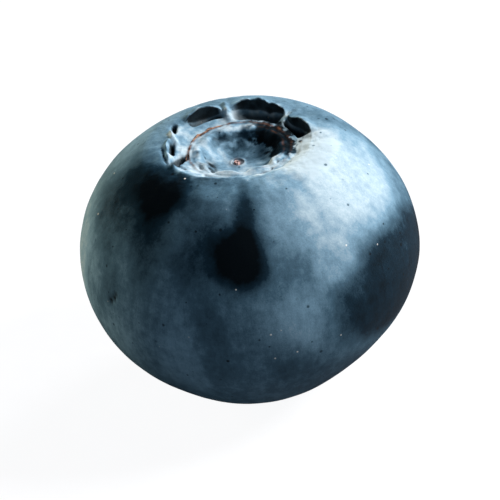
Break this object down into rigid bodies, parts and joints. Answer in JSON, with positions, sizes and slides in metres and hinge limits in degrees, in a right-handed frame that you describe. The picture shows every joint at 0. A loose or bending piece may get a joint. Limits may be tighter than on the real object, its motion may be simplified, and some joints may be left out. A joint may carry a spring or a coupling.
{
  "type": "blueberry",
  "caption": "Ripe bloomed blueberry, as picked: a slightly flattened round fruit with a lobed calyx crown on top and a torn stem scar underneath.",
  "frame": {"origin": "on the surface that the fruit rests on, under the middle of its box", "axes": "+Z from the stem end up to the crown, which is the fruit's own axis; -Y is the side that faces the picture's viewer, with +X to the viewer's right"},
  "size_m": [0.018, 0.0178, 0.0147],
  "materials": {
    "bloomed_skin": "dark blue fruit skin under a pale, powdery wax bloom that is rubbed off in soft patches",
    "stem_scar": "dry golden brown torn fibres where the stem came off"
  },
  "bodies": {
    "root": {"blueberry": "bloomed_skin"}
  },
  "joints": []
}
